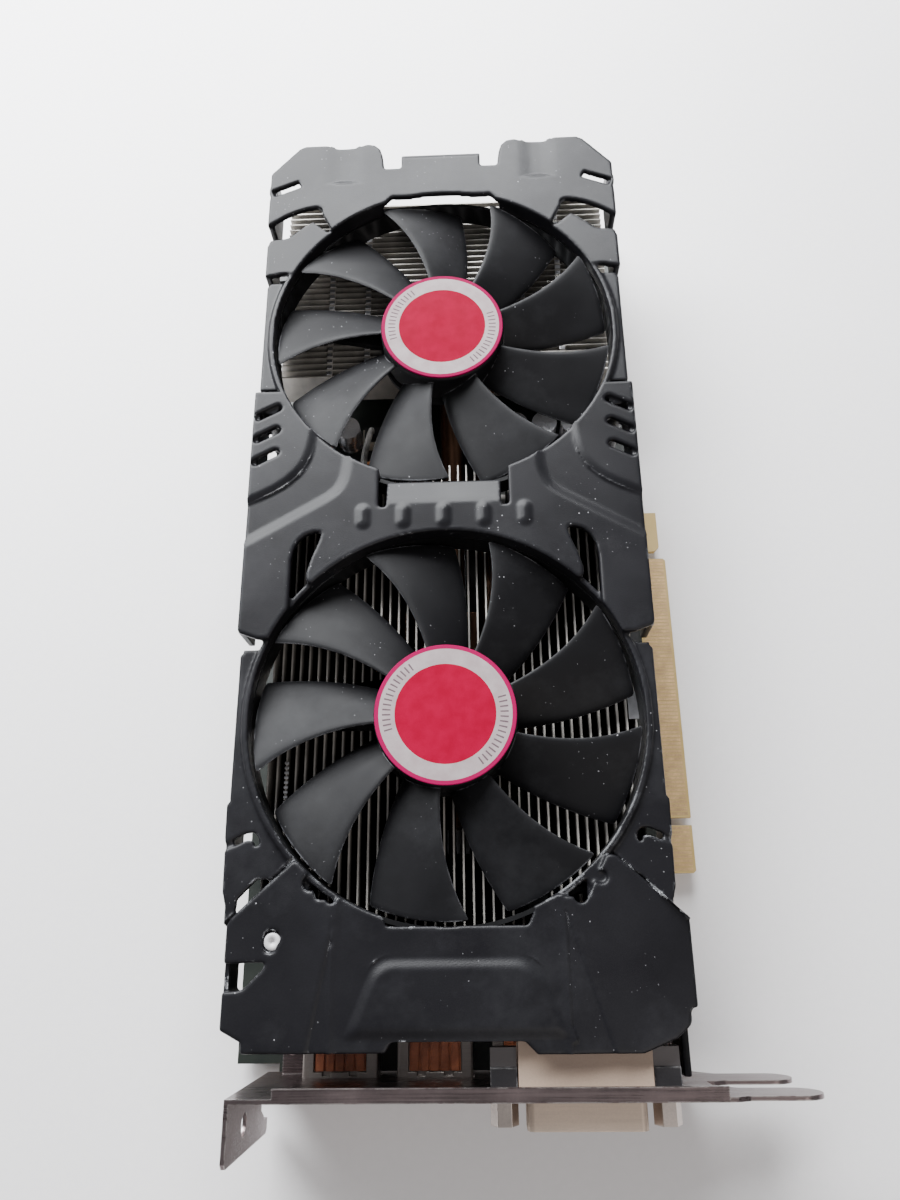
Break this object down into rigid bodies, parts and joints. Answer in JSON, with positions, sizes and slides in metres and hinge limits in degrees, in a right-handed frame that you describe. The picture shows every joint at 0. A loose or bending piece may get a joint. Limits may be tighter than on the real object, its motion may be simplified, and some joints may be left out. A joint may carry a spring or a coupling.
{
  "type": "graphics card",
  "caption": "Two-slot graphics card with twin axial fans under an angular shroud, finned cooler, slot bracket with video sockets and an edge connector.",
  "frame": {"origin": "on the underside of the backplate, 122 mm from the slot bracket's outer face, on the line of the two fan axes", "axes": "+X towards the edge connector, +Y away from the slot bracket along the card, +Z out through the fans"},
  "size_m": [0.1274, 0.261, 0.0412],
  "materials": {
    "backplate_metal": "satin black paint",
    "black_screw": "blackened steel",
    "circuit_board": "black solder mask, glass-fibre edges",
    "gold_contact": "gold plating, lightly worn",
    "package_substrate": "green substrate",
    "silicon": "polished",
    "chip_resin": "black moulding resin",
    "thermal_pad": "soft grey pad",
    "ferrite": "matte grey",
    "aluminium_can": "drawn, clear sleeve",
    "copper_winding": "enamelled copper",
    "black_connector": "moulded",
    "white_connector": "moulded",
    "lead_sleeve": "black sleeve",
    "copper": "bare copper, slightly dulled",
    "cast_aluminium": "machined",
    "fin_aluminium": "bare stamped sheet",
    "spring_steel": "satin",
    "shroud_plastic": "matte, dusty, scuffed edges",
    "frame_plastic": "matte black",
    "blade_plastic": "satin dark grey, dusty",
    "bearing_bronze": "sintered",
    "shaft_steel": "ground",
    "magnet_ferrite": "bonded ferrite",
    "badge": "printed crimson label with a pale ring",
    "bracket_nickel": "nickel plated, satin",
    "dvi_plastic": "beige moulding",
    "dvi_metal": "tin plated",
    "clip_steel": "dark plated",
    "jack_metal": "nickel plated",
    "socket_metal": "tin plated",
    "socket_insert": "copper-coloured moulding"
  },
  "bodies": {
    "card": {"backplate": "backplate_metal", "board_screws": "black_screw", "pcb": "circuit_board", "edge_contacts": "gold_contact", "gpu_package": "package_substrate", "gpu_die": "silicon", "memory_chips": "chip_resin", "memory_pads": "thermal_pad", "power_inductors": "ferrite", "capacitors": "aluminium_can", "power_transistors": "chip_resin", "choke_coil": "copper_winding", "power_socket": "black_connector", "power_pins": "gold_contact", "fan_header": "white_connector", "fan_plug": "black_connector", "front_fan_lead": "lead_sleeve", "rear_fan_lead": "lead_sleeve", "switch_body": "black_connector", "cold_plate": "copper", "base_plate": "cast_aluminium", "heat_pipe_left": "copper", "heat_pipe_middle": "copper", "heat_pipe_right": "copper", "front_fins": "fin_aluminium", "rear_fins": "fin_aluminium", "retention_bracket": "spring_steel", "cooler_screws": "black_screw", "shroud": "shroud_plastic", "fan_screws": "black_screw", "front_fan_frame": "frame_plastic", "front_fan_stator": "copper_winding", "front_fan_bearing": "bearing_bronze", "rear_fan_frame": "frame_plastic", "rear_fan_stator": "copper_winding", "rear_fan_bearing": "bearing_bronze", "io_bracket": "bracket_nickel", "bracket_screws": "bracket_nickel", "dvi_housing": "dvi_plastic", "dvi_shell": "dvi_metal", "dvi_insert": "dvi_plastic", "dvi_clips": "clip_steel", "dvi_jack_screws": "jack_metal", "display_shells": "socket_metal", "display_inserts": "socket_insert", "hdmi_shell": "socket_metal", "hdmi_insert": "black_connector"},
    "front_rotor": {"front_fan_impeller": "blade_plastic", "front_fan_badge": "badge", "front_fan_magnet": "magnet_ferrite", "front_fan_shaft": "shaft_steel"},
    "rear_rotor": {"rear_fan_impeller": "blade_plastic", "rear_fan_badge": "badge", "rear_fan_magnet": "magnet_ferrite", "rear_fan_shaft": "shaft_steel"},
    "switch": {"switch_slider": "white_connector"}
  },
  "joints": [
    {"name": "front_fan_spin", "type": "hinge", "parent": "card", "child": "front_rotor", "pos_m": [0, -0.0434, 0.036], "axis": [0, 0, 1], "continuous": true},
    {"name": "rear_fan_spin", "type": "hinge", "parent": "card", "child": "rear_rotor", "pos_m": [0, 0.0626, 0.036], "axis": [0, 0, 1], "continuous": true},
    {"name": "switch_slide", "type": "slide", "parent": "card", "child": "switch", "axis": [0, 1, 0], "range_m": [0, 0.0016]}
  ]
}
